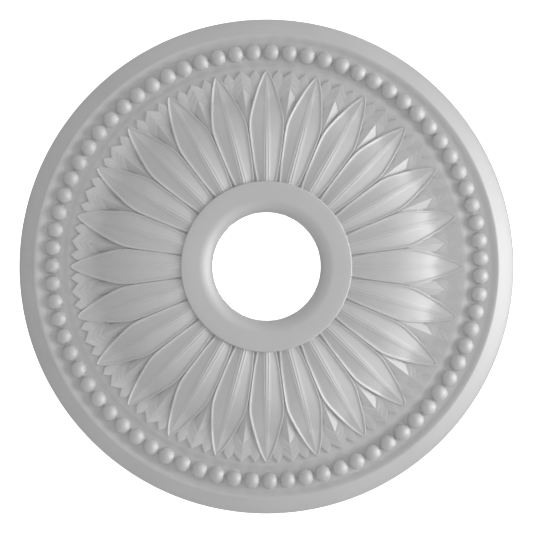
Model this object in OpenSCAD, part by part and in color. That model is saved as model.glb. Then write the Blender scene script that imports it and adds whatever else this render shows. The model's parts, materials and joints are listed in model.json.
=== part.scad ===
// Ceiling rose: a round moulding fixed flat against a ceiling around a lamp fitting.
// One solid. The flat back lies on z = 0 and the ornament hangs below it, toward -Z.
// Sizes are in millimetres and chain inward from the outer edge and outward from the hole.

/* [Disc] */
// outer diameter of the rose
outer_diameter = 508; // [420:1:620]
// diameter of the hole through the middle
hole_diameter = 111; // [90:0.5:135]
// thickness from the flat back to the bead channel floor
channel_thickness = 17; // [14:0.5:26]
// straight vertical land at the outer edge, next to the ceiling
edge_land = 2; // [1:0.25:4]

/* [Rim] */
// width of the rounding at the outer edge, seen from below
edge_rounding_width = 9.4; // [7:0.2:12]
// width of the bevel between the rounding and the crest
bevel_width = 6.6; // [5:0.2:8]
// drop of the bevel from the crest to the rounding
bevel_drop = 5.2; // [4:0.2:6.4]
// height of the crisp crest above the bead channel floor
crest_height = 1.4; // [0.5:0.1:3]
// width of the cove from the crest down to the bead channel floor
cove_width = 9.4; // [7:0.2:12]

/* [Bead row] */
// radius of one bead, half of it standing above the channel floor
bead_radius = 8; // [6.5:0.1:9.6]
// least gap between two beads
bead_gap = 2.3; // [1:0.1:5]
// flat channel floor left on each side of the beads
bead_clearance = 1.2; // [0.6:0.1:3]
// turn of the bead row, as the angle of its first bead from the +X axis
bead_turn = 0.2; // [0:0.1:4.8]

/* [Leaf field] */
// width of the slope between the bead channel and the leaf field
field_edge_width = 7.8; // [5:0.2:10]
// height of the leaf field above the channel floor
field_height = 0.9; // [0.5:0.1:1.4]
// plain field left outside the petal tips
tip_margin = 1.4; // [1:0.1:4]

/* [Petals] */
// number of petals
petal_count = 24; // [20:1:29]
// length of the free pointed end, from the tip to where neighbours meet
petal_free_length = 54; // [45:0.5:65]
// fullness of the pointed end, less is blunter
petal_fullness = 0.62; // [0.52:0.01:0.75]
// roundness with which the pointed end runs into the straight seam
petal_blend = 1.2; // [0.6:0.1:1.8]
// height of the petal crest above the channel floor
petal_crest_height = 21; // [18:0.2:25]
// distance from the hub ring to where the petals stand highest
petal_crest_from_hub = 25.6; // [18:0.2:31]
// height of the petal surface at its tip above the channel floor
petal_tip_height = 1.8; // [1.5:0.1:2.2]
// distance from the tip to where the petal has fallen to half its height
petal_fall_from_tip = 41.8; // [36:0.2:46]
// length that sets how gently the petal falls above half height
petal_fall_inner = 11.7; // [10:0.1:14]
// length that sets how gently the petal falls below half height
petal_fall_outer = 8.2; // [7:0.1:9.8]
// drop of the petal surface from the crest to its root at the hub
petal_root_drop = 2; // [0:0.2:2.4]
// height of the petals above the ground in the seams and gaps
petal_stand_off = 2.6; // [1.5:0.1:4]

/* [Petal lines] */
// width of the seam between two petals
seam_width = 0.9; // [0.6:0.1:1.6]
// width of the midrib at the hub
rib_width = 3.6; // [2:0.1:5]
// least width of the midrib
rib_least_width = 0.9; // [0.6:0.1:1.5]
// distance from the tip to where the midrib reaches its least width
rib_end_from_tip = 25; // [15:1:40]
// distance the midrib stops short of the petal tip
rib_tip_gap = 4; // [3:0.5:8]
// height of the midrib above the petal surface
rib_height = 0.5; // [0.3:0.1:1.2]

/* [Leaves between petals] */
// height of the lowest terrace of the broad leaf above the field
gap_leaf_height = 0.8; // [0.6:0.1:1.2]
// half width of the broad leaf at its shoulders
gap_leaf_half_width = 9.2; // [7.6:0.1:11]
// length of the tapering end of the broad leaf, from shoulders to tip
gap_leaf_point_length = 9; // [7.5:0.5:11]
// number of terraces on the broad leaf
terrace_count = 3; // [1:1:4]
// distance each terrace stands back from the one below
terrace_step = 2.6; // [1.5:0.1:3.2]
// height of each further terrace
terrace_rise = 0.4; // [0.2:0.05:0.5]
// sideways distance of a small side leaf's tip from the middle of the gap
side_leaf_offset = 14.2; // [12:0.1:17]
// half width of a side leaf
side_leaf_half_width = 5; // [4.2:0.1:6]
// length of the tapering end of a side leaf
side_leaf_point_length = 7; // [5:0.5:8.5]
// distance the side leaf tips stop short of the petal tip circle
side_leaf_tip_gap = 0.4; // [0.2:0.1:1]
// height of a side leaf above the field
side_leaf_height = 0.4; // [0.2:0.05:0.5]
// length of the leaves from their tips in to the root hidden under the petals
leaf_length = 29; // [25:0.5:34]

/* [Spears] */
// distance of the spear tips in from the petal tip circle
spear_tip_gap = 15; // [12.5:0.5:18]
// distance of the spear root out from where the petals meet
spear_root_gap = 1; // [0.6:0.1:3]
// half width of a spear at its shoulders
spear_half_width = 7.8; // [6.5:0.1:9]
// half width of a spear at its root
spear_root_half_width = 2.4; // [1.5:0.1:3.5]
// length of the tapering end of a spear
spear_point_length = 10.5; // [8.5:0.5:12.5]
// height of the spear ridge above the channel floor at its root
spear_root_height = 14.4; // [12:0.2:15.4]
// height of the spear ridge above the channel floor at its tip
spear_tip_height = 1.9; // [1.6:0.1:2.3]
// slope of the spear facets, as degrees of fall to each side of the ridge
spear_facet_angle = 26; // [20:1:30]

/* [Hub ring] */
// width of the raised ring round the hole
hub_width = 31.9; // [26:0.1:38]
// height of the hub ring above the channel floor
hub_height = 21; // [20:0.1:25]
// radius of the small rounding at the outer edge of the hub ring
hub_edge_radius = 1.6; // [1:0.1:2]
// radius of the large rounding that falls into the hole
hub_rounding = 14; // [11:0.5:17]

/* [Hidden] */
// how far one shape runs into the next, so that they join
overlap = 1;
outer_radius = outer_diameter / 2;
hole_radius = hole_diameter / 2;

bevel_end_radius = outer_radius - edge_rounding_width;
crest_radius = bevel_end_radius - bevel_width;
channel_outer_radius = crest_radius - cove_width;
bead_ring_radius = channel_outer_radius - bead_clearance - bead_radius;
channel_inner_radius = bead_ring_radius - bead_radius - bead_clearance;
field_radius = channel_inner_radius - field_edge_width;
petal_tip_radius = field_radius - tip_margin;
meeting_radius = petal_tip_radius - petal_free_length;
hub_radius = hole_radius + hub_width;
petal_crest_radius = hub_radius + petal_crest_from_hub;
petal_fall_radius = petal_tip_radius - petal_fall_from_tip;

bead_count = floor(180 / asin((bead_radius + bead_gap / 2) / bead_ring_radius));
petal_pitch = 360 / petal_count;
half_pitch_slope = tan(petal_pitch / 2);

crest_z = channel_thickness + crest_height;
bevel_end_z = crest_z - bevel_drop;
// where the bevel's slope, carried on, would meet the outer edge
edge_bend_z = max(edge_land, bevel_end_z - edge_rounding_width * bevel_drop / bevel_width);
field_z = channel_thickness + field_height;
hub_z = channel_thickness + hub_height;
// height of the upright outlines before they are cut to shape
tall = hub_z + 10;

spear_tip_radius = petal_tip_radius - spear_tip_gap;
spear_root_radius = meeting_radius + spear_root_gap;
spear_depth = 9;
side_leaf_tip_radius = petal_tip_radius - side_leaf_tip_gap;
leaf_root_radius = petal_tip_radius - leaf_length;

// beyond this many blends apart, the lesser width alone counts
blend_reach = 20;

// fullness of the leaf points: width share and length share of their middle corner
leaf_swell = 0.58;
leaf_swell_at = 0.46;
// how much narrower each terrace is than the one below
terrace_inset = 1.2;

// steps of the drawn curves
arc_steps = 8;
small_arc_steps = 3;
cove_steps = 4;
outline_steps = 9;
outline_crowding = 1.5;
outline_lead = 10;
profile_step_length = 9.7;
profile_steps = round((petal_tip_radius - hub_radius) / profile_step_length);
profile_step = (petal_tip_radius + 2 * overlap - hub_radius) / profile_steps;
petal_profile_radii = [for (i = [0:profile_steps]) hub_radius - overlap + i * profile_step];

// height of the petal surface above the back at radius r
function fall_length(r) = r < petal_fall_radius ? petal_fall_inner : petal_fall_outer;
function risen_share(r) = 1 / (1 + exp((r - petal_fall_radius) / fall_length(r)));
function root_share(r) = max(0, petal_crest_radius - r) / petal_crest_from_hub;
function petal_z(r) = channel_thickness + petal_tip_height
    + (petal_crest_height - petal_tip_height) * risen_share(r)
    - petal_root_drop * pow(root_share(r), 2);

// height of the ground under the petals
function ground_z(r) = max(field_z, petal_z(r) - petal_stand_off);

// half width of a petal at radius r: the lesser of its pointed end and its share of the circle, blended
function free_half_width(r) = meeting_radius * half_pitch_slope
    * pow(max(0, petal_tip_radius - r) / petal_free_length, petal_fullness);
function blended_least(a, b) = abs(a - b) > blend_reach * petal_blend
    ? min(a, b)
    : -petal_blend * ln(exp(-a / petal_blend) + exp(-b / petal_blend));
function petal_half_width(r) =
    max(0, blended_least(free_half_width(r), r * half_pitch_slope - seam_width / 2));

// stretches of the turned body's half section, from the outer edge inward
function curved(from, bend, to, t) = pow(1 - t, 2) * from + 2 * t * (1 - t) * bend + pow(t, 2) * to;
function edge_rounding() = [for (i = [0:arc_steps]) curved(
    [outer_radius, edge_land], [outer_radius, edge_bend_z], [bevel_end_radius, bevel_end_z], i / arc_steps)];
function cove() = [for (i = [0:cove_steps]) let (t = i / cove_steps)
    [crest_radius - cove_width * t, channel_thickness + crest_height * (1 + cos(180 * t)) / 2]];
function under_petals() = [for (i = [profile_steps - 1:-1:1]) let (r = petal_profile_radii[i])
    [r, ground_z(r)]];
function hub_edge() = [for (i = [0:small_arc_steps]) let (a = 90 * i / small_arc_steps)
    [hub_radius - hub_edge_radius * (1 - cos(a)), hub_z - hub_edge_radius * (1 - sin(a))]];
function hub_fall() = [for (i = [0:arc_steps]) let (a = 90 * i / arc_steps)
    [hole_radius + hub_rounding * (1 - sin(a)), hub_z - hub_rounding * (1 - cos(a))]];

module turned_body() {
    rotate_extrude($fn = 144)
        polygon(concat(
            [[hole_radius, 0]],
            [[outer_radius, 0]],
            edge_rounding(),
            cove(),
            [[channel_inner_radius, channel_thickness]],
            [[field_radius, field_z]],
            under_petals(),
            [[hub_radius, ground_z(hub_radius)]],
            hub_edge(),
            hub_fall()
        ));
}

module beads() {
    for (i = [0:bead_count - 1])
        rotate([0, 0, bead_turn + i * 360 / bead_count])
            translate([bead_ring_radius, 0, channel_thickness])
                sphere(r = bead_radius, $fn = 32);
}

module round_petals() {
    for (i = [0:petal_count - 1])
        rotate([0, 0, i * petal_pitch])
            children();
}

module round_gaps() {
    rotate([0, 0, petal_pitch / 2])
        round_petals() children();
}

// everything below the petal surface raised by lift
module petal_envelope(lift) {
    rotate_extrude($fn = 144)
        polygon(concat(
            [for (r = petal_profile_radii) [r, petal_z(r) + lift]],
            [[petal_profile_radii[profile_steps], overlap]],
            [[petal_profile_radii[0], overlap]]
        ));
}

// outline of one petal, from its root at the hub round its tip and back
function edge_radii() = [for (i = [0:outline_steps])
    petal_tip_radius - (petal_free_length + outline_lead) * pow(1 - i / outline_steps, outline_crowding)];
function petal_edge() = [for (r = concat([petal_profile_radii[0]], edge_radii())) [r, petal_half_width(r)]];
function one_petal() = let (edge = petal_edge(), n = len(edge) - 1)
    concat([for (i = [0:n - 1]) [edge[i][0], -edge[i][1]]], [for (i = [n:-1:0]) edge[i]]);
function turned(points, a) = [for (p = points)
    [p[0] * cos(a) - p[1] * sin(a), p[0] * sin(a) + p[1] * cos(a)]];

// outline of all petals together, one closed star slit along the seams
module petal_star() {
    polygon([for (i = [0:petal_count - 1]) each turned(one_petal(), i * petal_pitch)]);
}

module midrib_outline() {
    root = petal_profile_radii[0];
    slim = petal_tip_radius - rib_end_from_tip;
    end = petal_tip_radius - rib_tip_gap;
    polygon([
        [root, -rib_width / 2],
        [slim, -rib_least_width / 2],
        [end, -rib_least_width / 2],
        [end, rib_least_width / 2],
        [slim, rib_least_width / 2],
        [root, rib_width / 2]
    ]);
}

module petals() {
    intersection() {
        petal_envelope(0);
        linear_extrude(height = tall)
            petal_star();
    }
    intersection() {
        petal_envelope(rib_height);
        linear_extrude(height = tall)
            round_petals() midrib_outline();
    }
}

// flat leaf with parallel sides and a pointed end, its root at leaf_root_radius
module flat_leaf(tip_radius, half_width, point_length, top_z) {
    shoulder = tip_radius - point_length;
    middle = tip_radius - point_length * leaf_swell_at;
    translate([0, 0, overlap])
        linear_extrude(height = top_z - overlap)
            polygon([
                [leaf_root_radius, -half_width],
                [shoulder, -half_width],
                [middle, -half_width * leaf_swell],
                [tip_radius, 0],
                [middle, half_width * leaf_swell],
                [shoulder, half_width],
                [leaf_root_radius, half_width]
            ]);
}

module gap_leaves() {
    round_gaps() {
        for (i = [0:terrace_count - 1])
            flat_leaf(petal_tip_radius - i * terrace_step, gap_leaf_half_width - i * terrace_inset,
                gap_leaf_point_length, field_z + gap_leaf_height + i * terrace_rise);
        for (side = [-1, 1])
            rotate([0, 0, side * asin(side_leaf_offset / side_leaf_tip_radius)])
                flat_leaf(side_leaf_tip_radius, side_leaf_half_width,
                    side_leaf_point_length, field_z + side_leaf_height);
    }
}

// bar with a roof-shaped section whose ridge runs down from the root to the tip
module spear_bar() {
    run = spear_tip_radius - spear_root_radius;
    fall = spear_root_height - spear_tip_height;
    wide = spear_half_width + overlap;
    eave = -wide * tan(spear_facet_angle);
    translate([spear_root_radius, 0, channel_thickness + spear_root_height])
        rotate([0, atan2(fall, run), 0])
            rotate([90, 0, 90])
                translate([0, 0, -overlap])
                    linear_extrude(height = norm([run, fall]) + 2 * overlap)
                        polygon([
                            [0, 0],
                            [wide, eave],
                            [wide, -spear_depth],
                            [-wide, -spear_depth],
                            [-wide, eave]
                        ]);
}

module spear() {
    shoulder = spear_tip_radius - spear_point_length;
    intersection() {
        spear_bar();
        linear_extrude(height = tall)
            polygon([
                [spear_root_radius, -spear_root_half_width],
                [shoulder, -spear_half_width],
                [spear_tip_radius, 0],
                [shoulder, spear_half_width],
                [spear_root_radius, spear_root_half_width]
            ]);
    }
}

module ceiling_rose() {
    color([0.8, 0.8, 0.79])
        mirror([0, 0, 1])
            union() {
                turned_body();
                beads();
                petals();
                gap_leaves();
                round_gaps() spear();
            }
}

ceiling_rose();
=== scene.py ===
import json
import math

import bpy
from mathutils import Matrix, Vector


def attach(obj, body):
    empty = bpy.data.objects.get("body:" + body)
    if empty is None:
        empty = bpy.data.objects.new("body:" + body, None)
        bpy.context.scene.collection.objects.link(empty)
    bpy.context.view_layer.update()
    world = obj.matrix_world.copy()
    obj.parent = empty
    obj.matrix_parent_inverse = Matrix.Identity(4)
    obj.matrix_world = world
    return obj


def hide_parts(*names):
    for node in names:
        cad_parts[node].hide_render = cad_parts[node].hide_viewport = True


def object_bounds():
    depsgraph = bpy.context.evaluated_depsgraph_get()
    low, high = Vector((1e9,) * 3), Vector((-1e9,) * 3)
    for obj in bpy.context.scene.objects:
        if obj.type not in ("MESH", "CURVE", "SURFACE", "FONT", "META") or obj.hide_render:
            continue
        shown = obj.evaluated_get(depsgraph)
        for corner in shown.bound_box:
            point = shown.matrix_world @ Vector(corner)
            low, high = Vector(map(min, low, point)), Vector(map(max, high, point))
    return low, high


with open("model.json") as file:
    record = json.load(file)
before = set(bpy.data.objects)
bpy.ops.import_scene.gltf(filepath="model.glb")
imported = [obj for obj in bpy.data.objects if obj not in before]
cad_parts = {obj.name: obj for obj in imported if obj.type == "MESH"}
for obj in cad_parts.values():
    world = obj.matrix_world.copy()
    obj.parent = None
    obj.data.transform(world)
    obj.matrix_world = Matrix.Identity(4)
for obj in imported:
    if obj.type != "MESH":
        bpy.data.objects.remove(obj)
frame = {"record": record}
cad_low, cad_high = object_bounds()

# Sizes are in millimetres and angles in degrees, unless a comment says otherwise. Each piece is laid
# out face up with its radius along x, and add_piece turns it over so that the ornament hangs.
# Heights named _Z are over the flat back. Heights named _H are over CHANNEL_Z, except those of a
# petal's lip, lines and veins, which are over its blade. A pair such as NEAR_TIP says where a change
# starts and where it ends.
NODE = "ceiling_rose"
MM = 0.001

# ---- sizes of the disc, the rim and the bead channel ----
OUTER_R = (cad_high[0] - cad_low[0]) / 2 / MM
HOLE_R = frame["record"]["mounts"][0]["dims"]["r_mm"]
BODY_SEGMENTS = 480
CHANNEL_Z = 17.0
PIECE_FOOT_Z = CHANNEL_Z - 3.0
BACK_EASE = 0.6
EDGE_LAND = 2.0

# The crest is eased at two points, CREST_EASE out from CREST_R and at CREST_R, by CREST_EASE_DROPS.
CREST_R = 238.0
CREST_H = 1.4
CREST_EASE = 0.5
CREST_EASE_DROPS = (0.35, 0.05)
CREST_FLAT = 0.7
BEVEL_END_R = 244.6
BEVEL_DROP = 5.2
RIM_STEPS = 14

# The channel's floor lies CHANNEL_SINK under the CAD's.
CHANNEL_OUT_R = 228.6
CHANNEL_IN_R = 210.0
CHANNEL_SINK = 0.8
CHANNEL_FLOOR_RINGS = (220.6, 216.0)
COVE_STEPS = 8
FIELD_R = 202.4
FIELD_H = 0.9
FIELD_STEPS = 6
GROUND_FROM_R = 196.0
GROUND_STEP = 5.0

# ---- sizes of the hub ring; a ring of points HUB_FLAT_IN from its edge keeps its top's shading flat ----
HUB_R = 87.4
HUB_H = 21.0
HUB_EDGE = 1.3
HUB_EDGE_STEPS = 5
HUB_FLAT_IN = 8.0
HUB_ROUND = 14.0
HUB_ROUND_STEPS = 16

# ---- sizes of the beads ----
BEAD_COUNT = 75
BEAD_START = 0.2
BEAD_RING_R = 219.4
BEAD_R = 8.25
BEAD_FOOT_Z = CHANNEL_Z - 2.0
BEAD_RINGS = 9
BEAD_SEGMENTS = 28

# ---- sizes of the petals ----
PETAL_COUNT = 24
PITCH = 360 / PETAL_COUNT
PITCH_SLOPE = math.tan(math.radians(PITCH / 2))

# Outline: side by side from under the hub ring to MEET_R, and free from there to the tip, where a
# power under 1, PETAL_FULLNESS, makes it bulge. At the hub each side draws in by SLIT, and BLEND
# rounds the change from seam to free outline. PETAL_POINT is the half width left at the tip.
PETAL_TIP_R = 201.0
PETAL_FREE = 54.0
MEET_R = PETAL_TIP_R - PETAL_FREE
PETAL_FULLNESS = 0.62
PETAL_POINT = 0.12
PETAL_ROOT = 14.0
SEAM = 0.25
SLIT = 1.1
SLIT_LENGTH = 17.0
BLEND = 1.6

# Height along the rib: an S curve round FALL_R, from the crest height to the tip height.
PETAL_CREST_R = 113.0
PETAL_CREST_H = 21.0
PETAL_TIP_H = 1.8
FALL_R = 159.2
FALL_IN = 11.7
FALL_OUT = 8.2
FALL_CHANGES = (148.0, 174.0)
ROOT_DROP = 2.0
STAND_OFF = 3.4

# Blade: it falls to both sides of the rib, less so near the tip.
BLADE_FALL = 0.2
BLADE_SWEEP = 0.35
NEAR_TIP = (170.0, 192.0)
TIP_FALL_LOSS = 0.6
BLADE_STEPS = (0.25, 0.5, 0.75, 1.0)

# Lip: highest LIP_CREST in from the outline, lower near the hub and near the tip. LIP_STEPS place its
# points, as shares of LIP_W in from the outline, or of LIP_MOST of the half width where that is less.
LIP_W = 3.1
LIP_CREST = 0.6
LIP_H = 1.6
LIP_OUTLINE_LOSS = 0.4
LIP_HUB_SHARE = 0.75
LIP_GROWS = (100.0, 135.0)
LIP_TIP_LOSS = 0.35
LIP_FADES = (180.0, 200.0)
LIP_MOST = 0.5
LIP_STEPS = (0.8, 0.62, 0.42, 0.23, 0.1, 0.0)

# Rib: a middle line with a fine line on each side. Its points take at most RIB_MOST of what the lip
# leaves.
RIB_AT_HUB = 2.6
RIB_AT_END = 1.4
RIB_END_R = 178.0
RIB_NARROWS = (95.0, RIB_END_R)
RIB_MOST = 0.6
RIB_LINE = 0.6
RIB_LINE_H = 0.3
LINES_FADE = (RIB_END_R, 192.0)
RIB_MID = 0.65
RIB_MID_H = 0.26
MID_FADES = (186.0, 197.0)

# Veins: waves on the chevron lines between the rib and the lip, where r less the distance beside
# the rib is constant. VEINS_END are shares of the half width.
VEIN_PITCH = 3.4
VEIN_H = 0.07
VEINS_START = (134.0, 150.0)
VEINS_LEAVE_RIB = (3.0, 5.0)
VEINS_END = (0.7, 0.85)

# Chevron lines that carry the petal's points: LINE_COUNTS are for the stretches before the veins, on
# to TIP_LINES_R, and from there to the tip. None goes further than LINE_REACH beside the rib.
TIP_LINES_R = 185.0
LINE_COUNTS = (24, 56, 16)
LINE_REACH = 28.0
HALVINGS = 40

# ---- sizes of the flat leaves in the gaps; _ACROSS are shares of the half width ----
POINT_HALF = 0.08
RING_CROWDING = 1.3
LEAF_ROOT = 166.0
LEAF_RINGS = 26
LEAF_ACROSS = (-1, -0.96, -0.75, -0.5, -0.25, -0.06, 0, 0.06, 0.25, 0.5, 0.75, 0.96, 1)
CURL_FROM_R = 186.0
CURL_LENGTH = 15.0
FOLD_REACH = 9.0
EDGE_EASE = 0.1
NEAR_EDGE = (0.9, 1.0)

# A leaf's numbers: radius of its tip, half width, lift over the field, curl up toward the tip.
TERRACES = (
    (201.2, 10.3, 1.0, 2.1),
    (193.8, 10.0, 1.4, 1.8),
    (188.4, 9.6, 1.8, 1.0),
)
TERRACE_TAPER = 9.4
TERRACE_FOLD = 0.5
SIDE_LEAF = (200.8, 4.9, 0.7, 1.7)
SIDE_TAPER = 5.6
SIDE_FOLD = 0.25
SIDE_TURN = 4.05

# ---- sizes of the spears in the gaps ----
SPEAR_FOOT = 142.0
SPEAR_ROOT = 148.0
SPEAR_TIP = 186.0
SPEAR_SHOULDER = 175.5
SPEAR_ROOT_HALF = 2.2
SPEAR_HALF = 7.8
SPEAR_ROOT_H = 14.4
SPEAR_TIP_H = 1.9
SPEAR_FACET = 0.49
SPEAR_RINGS = 24
SPEAR_ACROSS = (-1, -0.66, -0.33, 0, 0.33, 0.66, 1)


# ---- curves ----
def smooth(a, b, x):
    """0 up to a, 1 from b on, with an easy curve between them."""
    t = min(1.0, max(0.0, (x - a) / (b - a)))
    return t * t * (3 - 2 * t)


def bump(x, half):
    """1 at 0, easing to 0 at a distance of half."""
    return max(0.0, 1 - (x / half) ** 2) ** 2


def arc(centre_r, centre_z, radius, start, end, steps):
    """Profile points on a circle, from start to end degrees."""
    points = []
    for i in range(steps + 1):
        a = math.radians(start + (end - start) * i / steps)
        points.append((centre_r + radius * math.cos(a), centre_z + radius * math.sin(a)))
    return points


def easy_slope(start, end, steps):
    """Profile points on half a cosine wave, level at start and at end."""
    points = []
    for i in range(steps + 1):
        share = i / steps
        rise = (1 - math.cos(math.pi * share)) / 2
        points.append((start[0] + (end[0] - start[0]) * share, start[1] + (end[1] - start[1]) * rise))
    return points


# ---- mesh helpers ----
def turned(verts, degrees):
    """The points, turned about the rose's axis."""
    cos_a = math.cos(math.radians(degrees))
    sin_a = math.sin(math.radians(degrees))
    return [(x * cos_a - y * sin_a, x * sin_a + y * cos_a, h) for x, y, h in verts]


def joined(parts):
    """One list of points and one of faces out of several."""
    all_verts, all_faces = [], []
    for verts, faces in parts:
        base = len(all_verts)
        all_verts += verts
        all_faces += [tuple(i + base for i in face) for face in faces]
    return all_verts, all_faces


def rounds(verts, faces, angles):
    """A copy of the same shape at each angle."""
    return joined((turned(verts, angle), faces) for angle in angles)


def add_piece(name, verts, faces, material, sharp):
    """Add a piece in metres and hanging down. Edges that turn more than sharp degrees stay crisp."""
    mesh = bpy.data.meshes.new(name)
    mesh.from_pydata([(x * MM, y * MM, -h * MM) for x, y, h in verts], [], [f[::-1] for f in faces])
    mesh.validate()
    mesh.update()
    for polygon in mesh.polygons:
        polygon.use_smooth = True
    mesh.set_sharp_from_angle(angle=math.radians(sharp))
    mesh.materials.append(material)
    piece = bpy.data.objects.new(name, mesh)
    bpy.context.scene.collection.objects.link(piece)
    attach(piece, "root")
    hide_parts(NODE)


def lathe(profile, segments):
    """Closed ring from a closed half section of (radius, height), listed anticlockwise."""
    count = len(profile)
    verts = []
    for i in range(segments):
        a = 2 * math.pi * i / segments
        verts += [(r * math.cos(a), r * math.sin(a), h) for r, h in profile]
    faces = []
    for i in range(segments):
        here = i * count
        there = (i + 1) % segments * count
        for j in range(count):
            k = (j + 1) % count
            faces.append((here + j, there + j, there + k, here + k))
    return verts, faces


def slab(rows):
    """Closed solid under a grid of points. rows[i][j] = (x, y, h), x growing with i and y with j."""
    n, m = len(rows), len(rows[0])
    verts = [point for row in rows for point in row]
    faces = []
    for i in range(n - 1):
        for j in range(m - 1):
            a = i * m + j
            faces.append((a, a + m, a + m + 1, a + 1))
    ring = list(range(m)) + [i * m + m - 1 for i in range(1, n)]
    ring += [(n - 1) * m + j for j in range(m - 2, -1, -1)] + [i * m for i in range(n - 2, 0, -1)]
    foot = len(verts)
    verts += [(verts[i][0], verts[i][1], PIECE_FOOT_Z) for i in ring]
    count = len(ring)
    for k in range(count):
        after = (k + 1) % count
        faces.append((ring[k], ring[after], foot + after, foot + k))
    faces.append(tuple(foot + k for k in range(count)))
    return verts, faces


# ---- petals: r runs along the rib and t is the distance beside it ----
def petal_z(r):
    """Height along the rib."""
    width = FALL_IN + (FALL_OUT - FALL_IN) * smooth(*FALL_CHANGES, r)
    h = PETAL_TIP_H + (PETAL_CREST_H - PETAL_TIP_H) / (1 + math.exp((r - FALL_R) / width))
    drop = ROOT_DROP * (max(0.0, PETAL_CREST_R - r) / (PETAL_CREST_R - HUB_R)) ** 2
    return CHANNEL_Z + h - drop


def petal_half(r):
    """Half width: the smaller of the wedge between two seams and the free outline, blended."""
    gap = SEAM / 2 + SLIT * max(0.0, 1 - (r - HUB_R) / SLIT_LENGTH)
    wedge = r * PITCH_SLOPE - gap
    left = max(0.0, PETAL_TIP_R - r) / PETAL_FREE
    free = MEET_R * PITCH_SLOPE * left ** PETAL_FULLNESS - SEAM / 2
    return max(0.0, -BLEND * math.log(math.exp(-wedge / BLEND) + math.exp(-free / BLEND)))


def lip_height(r, edge):
    """Height of the lip at a distance of edge from the outline."""
    crest = LIP_H * (LIP_HUB_SHARE + (1 - LIP_HUB_SHARE) * smooth(*LIP_GROWS, r))
    crest *= 1 - LIP_TIP_LOSS * smooth(*LIP_FADES, r)
    if edge < LIP_CREST:
        return crest * (1 - LIP_OUTLINE_LOSS * (1 - edge / LIP_CREST) ** 2)
    return crest * (1 - smooth(LIP_CREST, LIP_W, edge))


def line_apart(r):
    """Distance from the middle of the rib to the fine line beside it."""
    return RIB_AT_HUB + (RIB_AT_END - RIB_AT_HUB) * smooth(*RIB_NARROWS, r)


def rib_height(r, t):
    """Height of the fine line and the middle line."""
    line = (1 - smooth(*LINES_FADE, r)) * RIB_LINE_H * bump(t - line_apart(r), RIB_LINE)
    return line + (1 - smooth(*MID_FADES, r)) * RIB_MID_H * bump(t, RIB_MID)


def vein_height(r, t, half):
    """Height of the veins, up or down."""
    wave = math.cos(2 * math.pi * (r - t) / VEIN_PITCH)
    across = smooth(*VEINS_LEAVE_RIB, t) * (1 - smooth(*VEINS_END, t / max(half, PETAL_POINT)))
    return VEIN_H * wave * smooth(*VEINS_START, r - t) * across


def petal_top(r, t):
    """Height of the petal's face."""
    half = petal_half(r)
    near_tip = smooth(*NEAR_TIP, r)
    blade = petal_z(r - BLADE_SWEEP * (1 - near_tip) * t) - BLADE_FALL * (1 - TIP_FALL_LOSS * near_tip) * t
    return blade + lip_height(r, half - t) + rib_height(r, t) + vein_height(r, t, half)


def line_starts():
    """Where the chevron lines leave the rib: wide apart near the hub, close where the veins are."""
    bounds = (HUB_R - PETAL_ROOT, VEINS_START[0], TIP_LINES_R, PETAL_TIP_R)
    starts = []
    for low, high, count in zip(bounds, bounds[1:], LINE_COUNTS):
        starts += [low + (high - low) * i / count for i in range(count)]
    return starts + [PETAL_TIP_R]


def line_half(start):
    """How far beside the rib a chevron line meets the outline, found by halving."""
    low, high = 0.0, LINE_REACH
    for _ in range(HALVINGS):
        middle = (low + high) / 2
        if petal_half(start + middle) > middle:
            low = middle
        else:
            high = middle
    return max(low, PETAL_POINT)


def line_stops(start):
    """Distances beside the rib at which a chevron line has points: on the rib, the blade and the lip."""
    half = line_half(start)
    lip = min(LIP_W, half * LIP_MOST)
    inner = half - lip
    apart = line_apart(start)
    rib = min(apart + RIB_LINE, inner * RIB_MOST)
    marks = (0.0, RIB_MID / 2, RIB_MID, apart - RIB_LINE, apart, apart + RIB_LINE)
    stops = [mark * rib / (apart + RIB_LINE) for mark in marks]
    stops += [rib + (inner - rib) * step for step in BLADE_STEPS]
    stops += [half - lip * step for step in LIP_STEPS]
    return stops


def petal():
    """One petal, laid on chevron lines that run out and away from the rib."""
    rows = []
    for start in line_starts():
        stops = line_stops(start)
        row = []
        for t in [-stop for stop in stops[:0:-1]] + stops:
            r = start + abs(t)
            row.append((min(r, PETAL_TIP_R), t, petal_top(r, abs(t))))
        rows.append(row)
    return slab(rows)


# ---- leaves and spears in the gaps ----
def pointed(root, tip, half_at, top_at, rings, across):
    """Closed leaf from root to tip, half_at(r) wide to each side, its rings closer toward the tip."""
    rows = []
    for i in range(rings + 1):
        r = root + (tip - root) * (1 - (1 - i / rings) ** RING_CROWDING)
        half = max(half_at(r), POINT_HALF)
        rows.append([(r, half * share, top_at(r, half * share, half)) for share in across])
    return slab(rows)


def leaf(tip, half, lift, curl, taper, fold):
    """Flat leaf that narrows over the last taper of its length, with sides folded down by fold."""

    def half_at(r):
        return half * min(1.0, max(0.0, tip - r) / taper)

    def top_at(r, t, half_here):
        h = CHANNEL_Z + FIELD_H + lift + curl * max(0.0, r - CURL_FROM_R) / CURL_LENGTH
        h -= fold * min(1.0, abs(t) / FOLD_REACH)
        return h - EDGE_EASE * smooth(*NEAR_EDGE, abs(t) / half_here)

    return pointed(LEAF_ROOT, tip, half_at, top_at, LEAF_RINGS, LEAF_ACROSS)


def gap_leaves():
    """A small leaf on each side of the gap, and a broad one in three terraces between them."""
    verts, faces = leaf(*SIDE_LEAF, SIDE_TAPER, SIDE_FOLD)
    sides = [(turned(verts, angle), faces) for angle in (-SIDE_TURN, SIDE_TURN)]
    return joined(sides + [leaf(*terrace, TERRACE_TAPER, TERRACE_FOLD) for terrace in TERRACES])


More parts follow.
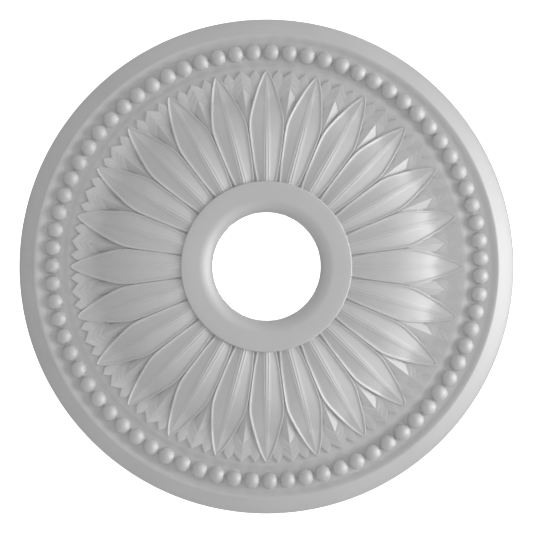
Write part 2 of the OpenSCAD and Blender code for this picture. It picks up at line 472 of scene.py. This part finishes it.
def spear():
    """Ridged spear, widest at its shoulder, that comes up from the seam between two petals."""

    def half_at(r):
        if r > SPEAR_SHOULDER:
            return SPEAR_HALF * (SPEAR_TIP - r) / (SPEAR_TIP - SPEAR_SHOULDER)
        grown = max(0.0, r - SPEAR_ROOT) / (SPEAR_SHOULDER - SPEAR_ROOT)
        return SPEAR_ROOT_HALF + (SPEAR_HALF - SPEAR_ROOT_HALF) * grown

    def top_at(r, t, _):
        down = max(0.0, r - SPEAR_ROOT) / (SPEAR_TIP - SPEAR_ROOT)
        return CHANNEL_Z + SPEAR_ROOT_H + (SPEAR_TIP_H - SPEAR_ROOT_H) * down - SPEAR_FACET * abs(t)

    return pointed(SPEAR_FOOT, SPEAR_TIP, half_at, top_at, SPEAR_RINGS, SPEAR_ACROSS)


# ---- turned body ----
def ground_z(r):
    """Height of the ground under the petals, seen in the seams and the gaps."""
    return max(CHANNEL_Z + FIELD_H, petal_z(r) - STAND_OFF)


def rim_curve(bevel_z):
    """Quadratic curve from the upright edge land to the bevel, in line with both."""
    bend_z = bevel_z - (OUTER_R - BEVEL_END_R) * BEVEL_DROP / (BEVEL_END_R - CREST_R)
    points = []
    for i in range(1, RIM_STEPS + 1):
        t = i / RIM_STEPS
        r = (1 - t * t) * OUTER_R + t * t * BEVEL_END_R
        points.append((r, (1 - t) ** 2 * EDGE_LAND + 2 * t * (1 - t) * bend_z + t * t * bevel_z))
    return points


def body_profile():
    """Half section: out along the back, up the edge, over rim, channel, ground and hub, down the hole."""
    crest_z = CHANNEL_Z + CREST_H
    floor_z = CHANNEL_Z - CHANNEL_SINK
    field_z = CHANNEL_Z + FIELD_H
    hub_z = CHANNEL_Z + HUB_H
    profile = [(HOLE_R + BACK_EASE, 0.0), (OUTER_R - BACK_EASE, 0.0), (OUTER_R, BACK_EASE)]
    profile += [(OUTER_R, EDGE_LAND)] + rim_curve(crest_z - BEVEL_DROP)
    outer_drop, inner_drop = CREST_EASE_DROPS
    profile += [(CREST_R + CREST_EASE, crest_z - outer_drop), (CREST_R, crest_z - inner_drop)]
    profile += easy_slope((CREST_R - CREST_FLAT, crest_z), (CHANNEL_OUT_R, floor_z), COVE_STEPS)
    profile += [(r, floor_z) for r in CHANNEL_FLOOR_RINGS]
    profile += easy_slope((CHANNEL_IN_R, floor_z), (FIELD_R, field_z), FIELD_STEPS)
    ground_steps = int((GROUND_FROM_R - HUB_R) / GROUND_STEP)
    ground_rings = [GROUND_FROM_R - GROUND_STEP * i for i in range(ground_steps + 1)] + [HUB_R]
    profile += [(r, ground_z(r)) for r in ground_rings]
    profile += arc(HUB_R - HUB_EDGE, hub_z - HUB_EDGE, HUB_EDGE, 0, 90, HUB_EDGE_STEPS)
    profile += [(HUB_R - HUB_FLAT_IN, hub_z)]
    profile += arc(HOLE_R + HUB_ROUND, hub_z - HUB_ROUND, HUB_ROUND, 90, 180, HUB_ROUND_STEPS)
    profile += [(HOLE_R, BACK_EASE)]
    return profile


def bead():
    """Half ball on a short upright wall that goes down into the channel's floor."""
    verts = [(BEAD_RING_R, 0.0, CHANNEL_Z + BEAD_R)]
    for i in range(1, BEAD_RINGS + 1):
        down = math.pi / 2 * i / BEAD_RINGS
        ring_r = BEAD_R * math.sin(down)
        ring_z = CHANNEL_Z + BEAD_R * math.cos(down)
        for k in range(BEAD_SEGMENTS):
            around = 2 * math.pi * k / BEAD_SEGMENTS
            verts.append((BEAD_RING_R + ring_r * math.cos(around), ring_r * math.sin(around), ring_z))
    foot = len(verts)
    verts += [(x, y, BEAD_FOOT_Z) for x, y, _ in verts[-BEAD_SEGMENTS:]]
    faces = [(0, 1 + k, 1 + (k + 1) % BEAD_SEGMENTS) for k in range(BEAD_SEGMENTS)]
    for i in range(BEAD_RINGS):
        here = 1 + i * BEAD_SEGMENTS
        below = here + BEAD_SEGMENTS
        for k in range(BEAD_SEGMENTS):
            after = (k + 1) % BEAD_SEGMENTS
            faces.append((here + k, below + k, below + after, here + after))
    faces.append(tuple(foot + k for k in range(BEAD_SEGMENTS - 1, -1, -1)))
    return verts, faces


# ---- material ----
CLOUD_SCALE = 14.0
CLOUD_DETAIL = 4.0
CLOUD_SPAN = (0.35, 0.65)
TINTS = ((0.485, 0.485, 0.485, 1), (0.51, 0.51, 0.508, 1))
ROUGHNESS = (0.64, 0.7)
GRAIN_SCALE = 420.0
GRAIN_DETAIL = 3.0
GRAIN_STRENGTH = 0.06
GRAIN_DEPTH = 0.4 * MM


def noise(nodes, links, place, scale, detail):
    """Noise texture laid on the object, with its scale per metre."""
    texture = nodes.new("ShaderNodeTexNoise")
    texture.inputs["Scale"].default_value = scale
    texture.inputs["Detail"].default_value = detail
    links.new(place.outputs["Object"], texture.inputs["Vector"])
    return texture.outputs["Fac"]


def primer():
    """Pale satin primer, a little uneven in tint and gloss, with a fine grain."""
    mat = bpy.data.materials.new("primed_moulding")
    mat.use_nodes = True
    nodes, links = mat.node_tree.nodes, mat.node_tree.links
    shader = nodes["Principled BSDF"]
    place = nodes.new("ShaderNodeTexCoord")
    cloud = noise(nodes, links, place, CLOUD_SCALE, CLOUD_DETAIL)
    tint = nodes.new("ShaderNodeValToRGB")
    for stop, colour, position in zip(tint.color_ramp.elements, TINTS, CLOUD_SPAN):
        stop.color = colour
        stop.position = position
    links.new(cloud, tint.inputs["Fac"])
    links.new(tint.outputs["Color"], shader.inputs["Base Color"])
    rough = nodes.new("ShaderNodeMapRange")
    rough.inputs["To Min"].default_value = ROUGHNESS[0]
    rough.inputs["To Max"].default_value = ROUGHNESS[1]
    links.new(cloud, rough.inputs["Value"])
    links.new(rough.outputs["Result"], shader.inputs["Roughness"])
    relief = nodes.new("ShaderNodeBump")
    relief.inputs["Strength"].default_value = GRAIN_STRENGTH
    relief.inputs["Distance"].default_value = GRAIN_DEPTH
    links.new(noise(nodes, links, place, GRAIN_SCALE, GRAIN_DETAIL), relief.inputs["Height"])
    links.new(relief.outputs["Normal"], shader.inputs["Normal"])
    return mat


# ---- the five pieces of the moulding ----
material = primer()
petal_angles = [i * PITCH for i in range(PETAL_COUNT)]
gap_angles = [angle + PITCH / 2 for angle in petal_angles]
bead_angles = [BEAD_START + i * 360 / BEAD_COUNT for i in range(BEAD_COUNT)]
add_piece("rose_body", *lathe(body_profile(), BODY_SEGMENTS), material, sharp=28)
add_piece("rose_petals", *rounds(*petal(), petal_angles), material, sharp=50)
add_piece("rose_beads", *rounds(*bead(), bead_angles), material, sharp=50)
add_piece("rose_leaves", *rounds(*gap_leaves(), gap_angles), material, sharp=30)
add_piece("rose_spears", *rounds(*spear(), gap_angles), material, sharp=20)


# ---- stage: sizes and places in metres ----
WHITE = (1, 1, 1, 1)
STAGE_ROUGHNESS = 0.9
LIGHT_TARGET = (0, 0, -0.02)


def plane(name, size, z, grey, glow):
    """Level square, pale grey and with a white glow."""
    s = size / 2
    mesh = bpy.data.meshes.new(name)
    mesh.from_pydata([(-s, -s, z), (s, -s, z), (s, s, z), (-s, s, z)], [], [(0, 1, 2, 3)])
    obj = bpy.data.objects.new(name, mesh)
    bpy.context.scene.collection.objects.link(obj)
    mat = bpy.data.materials.new(name)
    mat.use_nodes = True
    shader = mat.node_tree.nodes["Principled BSDF"]
    shader.inputs["Base Color"].default_value = (grey, grey, grey, 1)
    shader.inputs["Roughness"].default_value = STAGE_ROUGHNESS
    shader.inputs["Emission Color"].default_value = WHITE
    shader.inputs["Emission Strength"].default_value = glow
    mesh.materials.append(mat)
    return obj


def area_light(name, tilt, around, distance, size, power):
    """Round lamp, tilt degrees off straight down from the rose and around degrees from -X toward +Y."""
    data = bpy.data.lights.new(name, "AREA")
    data.shape = "DISK"
    data.size = size
    data.energy = power
    lamp = bpy.data.objects.new(name, data)
    bpy.context.scene.collection.objects.link(lamp)
    out = distance * math.sin(math.radians(tilt))
    a = math.radians(around)
    lamp.location = (-out * math.cos(a), out * math.sin(a), -distance * math.cos(math.radians(tilt)))
    way = [goal - place for goal, place in zip(LIGHT_TARGET, lamp.location)]
    level = math.hypot(way[0], way[1])
    lamp.rotation_euler = (math.atan2(level, -way[2]), 0, math.atan2(way[1], way[0]) - math.pi / 2)
    lamp.visible_camera = False
    return lamp


# The backdrop whitens what the camera sees past the rose, and neither lights it nor shines on it.
plane("floor", size=60.0, z=-4.8, grey=0.72, glow=0.19)
backdrop = plane("backdrop", size=10.4, z=7.5, grey=0.8, glow=1.1)
backdrop.visible_diffuse = False
backdrop.visible_glossy = False

# The key gives soft shade from the image's right, and the gloss lamp gives only the broad highlight.
area_light("key", tilt=72, around=0, distance=3.0, size=1.6, power=24)
gloss = area_light("gloss", tilt=70, around=0, distance=3.0, size=2.5, power=620)
gloss.visible_diffuse = False
area_light("fill_up", tilt=70, around=90, distance=3.0, size=1.6, power=14)
area_light("fill_down", tilt=70, around=-90, distance=3.0, size=1.6, power=14)
area_light("over_back", tilt=180, around=0, distance=5.0, size=2.0, power=280)

# ---- world: brighter from below than from above, blended across the horizon ----
HORIZON_BLEND = 0.1
LIGHT_FROM_BELOW = 0.75
LIGHT_FROM_ABOVE = 0.38

world = bpy.data.worlds.new("studio")
bpy.context.scene.world = world
world.use_nodes = True
world_nodes, world_links = world.node_tree.nodes, world.node_tree.links
direction = world_nodes.new("ShaderNodeTexCoord")
split = world_nodes.new("ShaderNodeSeparateXYZ")
world_links.new(direction.outputs["Generated"], split.inputs["Vector"])
strength = world_nodes.new("ShaderNodeMapRange")
strength.inputs["From Min"].default_value = -HORIZON_BLEND
strength.inputs["From Max"].default_value = HORIZON_BLEND
strength.inputs["To Min"].default_value = LIGHT_FROM_BELOW
strength.inputs["To Max"].default_value = LIGHT_FROM_ABOVE
world_links.new(split.outputs["Z"], strength.inputs["Value"])
world_nodes["Background"].inputs["Color"].default_value = WHITE
world_links.new(strength.outputs["Result"], world_nodes["Background"].inputs["Strength"])

# ---- camera: straight up at the rose, whose edge fills ROSE_SHARE of the view; right is -X ----
LENS = 300.0
SENSOR = 36.0
ROSE_SHARE = 0.92735
VIEW_WIDTH = 2 * OUTER_R * MM / ROSE_SHARE

camera_data = bpy.data.cameras.new("camera")
camera_data.lens = LENS
camera_data.sensor_width = SENSOR
camera = bpy.data.objects.new("camera", camera_data)
bpy.context.scene.collection.objects.link(camera)
camera.location = (0, 0, -VIEW_WIDTH * LENS / SENSOR - EDGE_LAND * MM)
camera.rotation_euler = (math.pi, 0, math.pi)
bpy.context.scene.camera = camera

bpy.context.scene.view_settings.view_transform = "Standard"
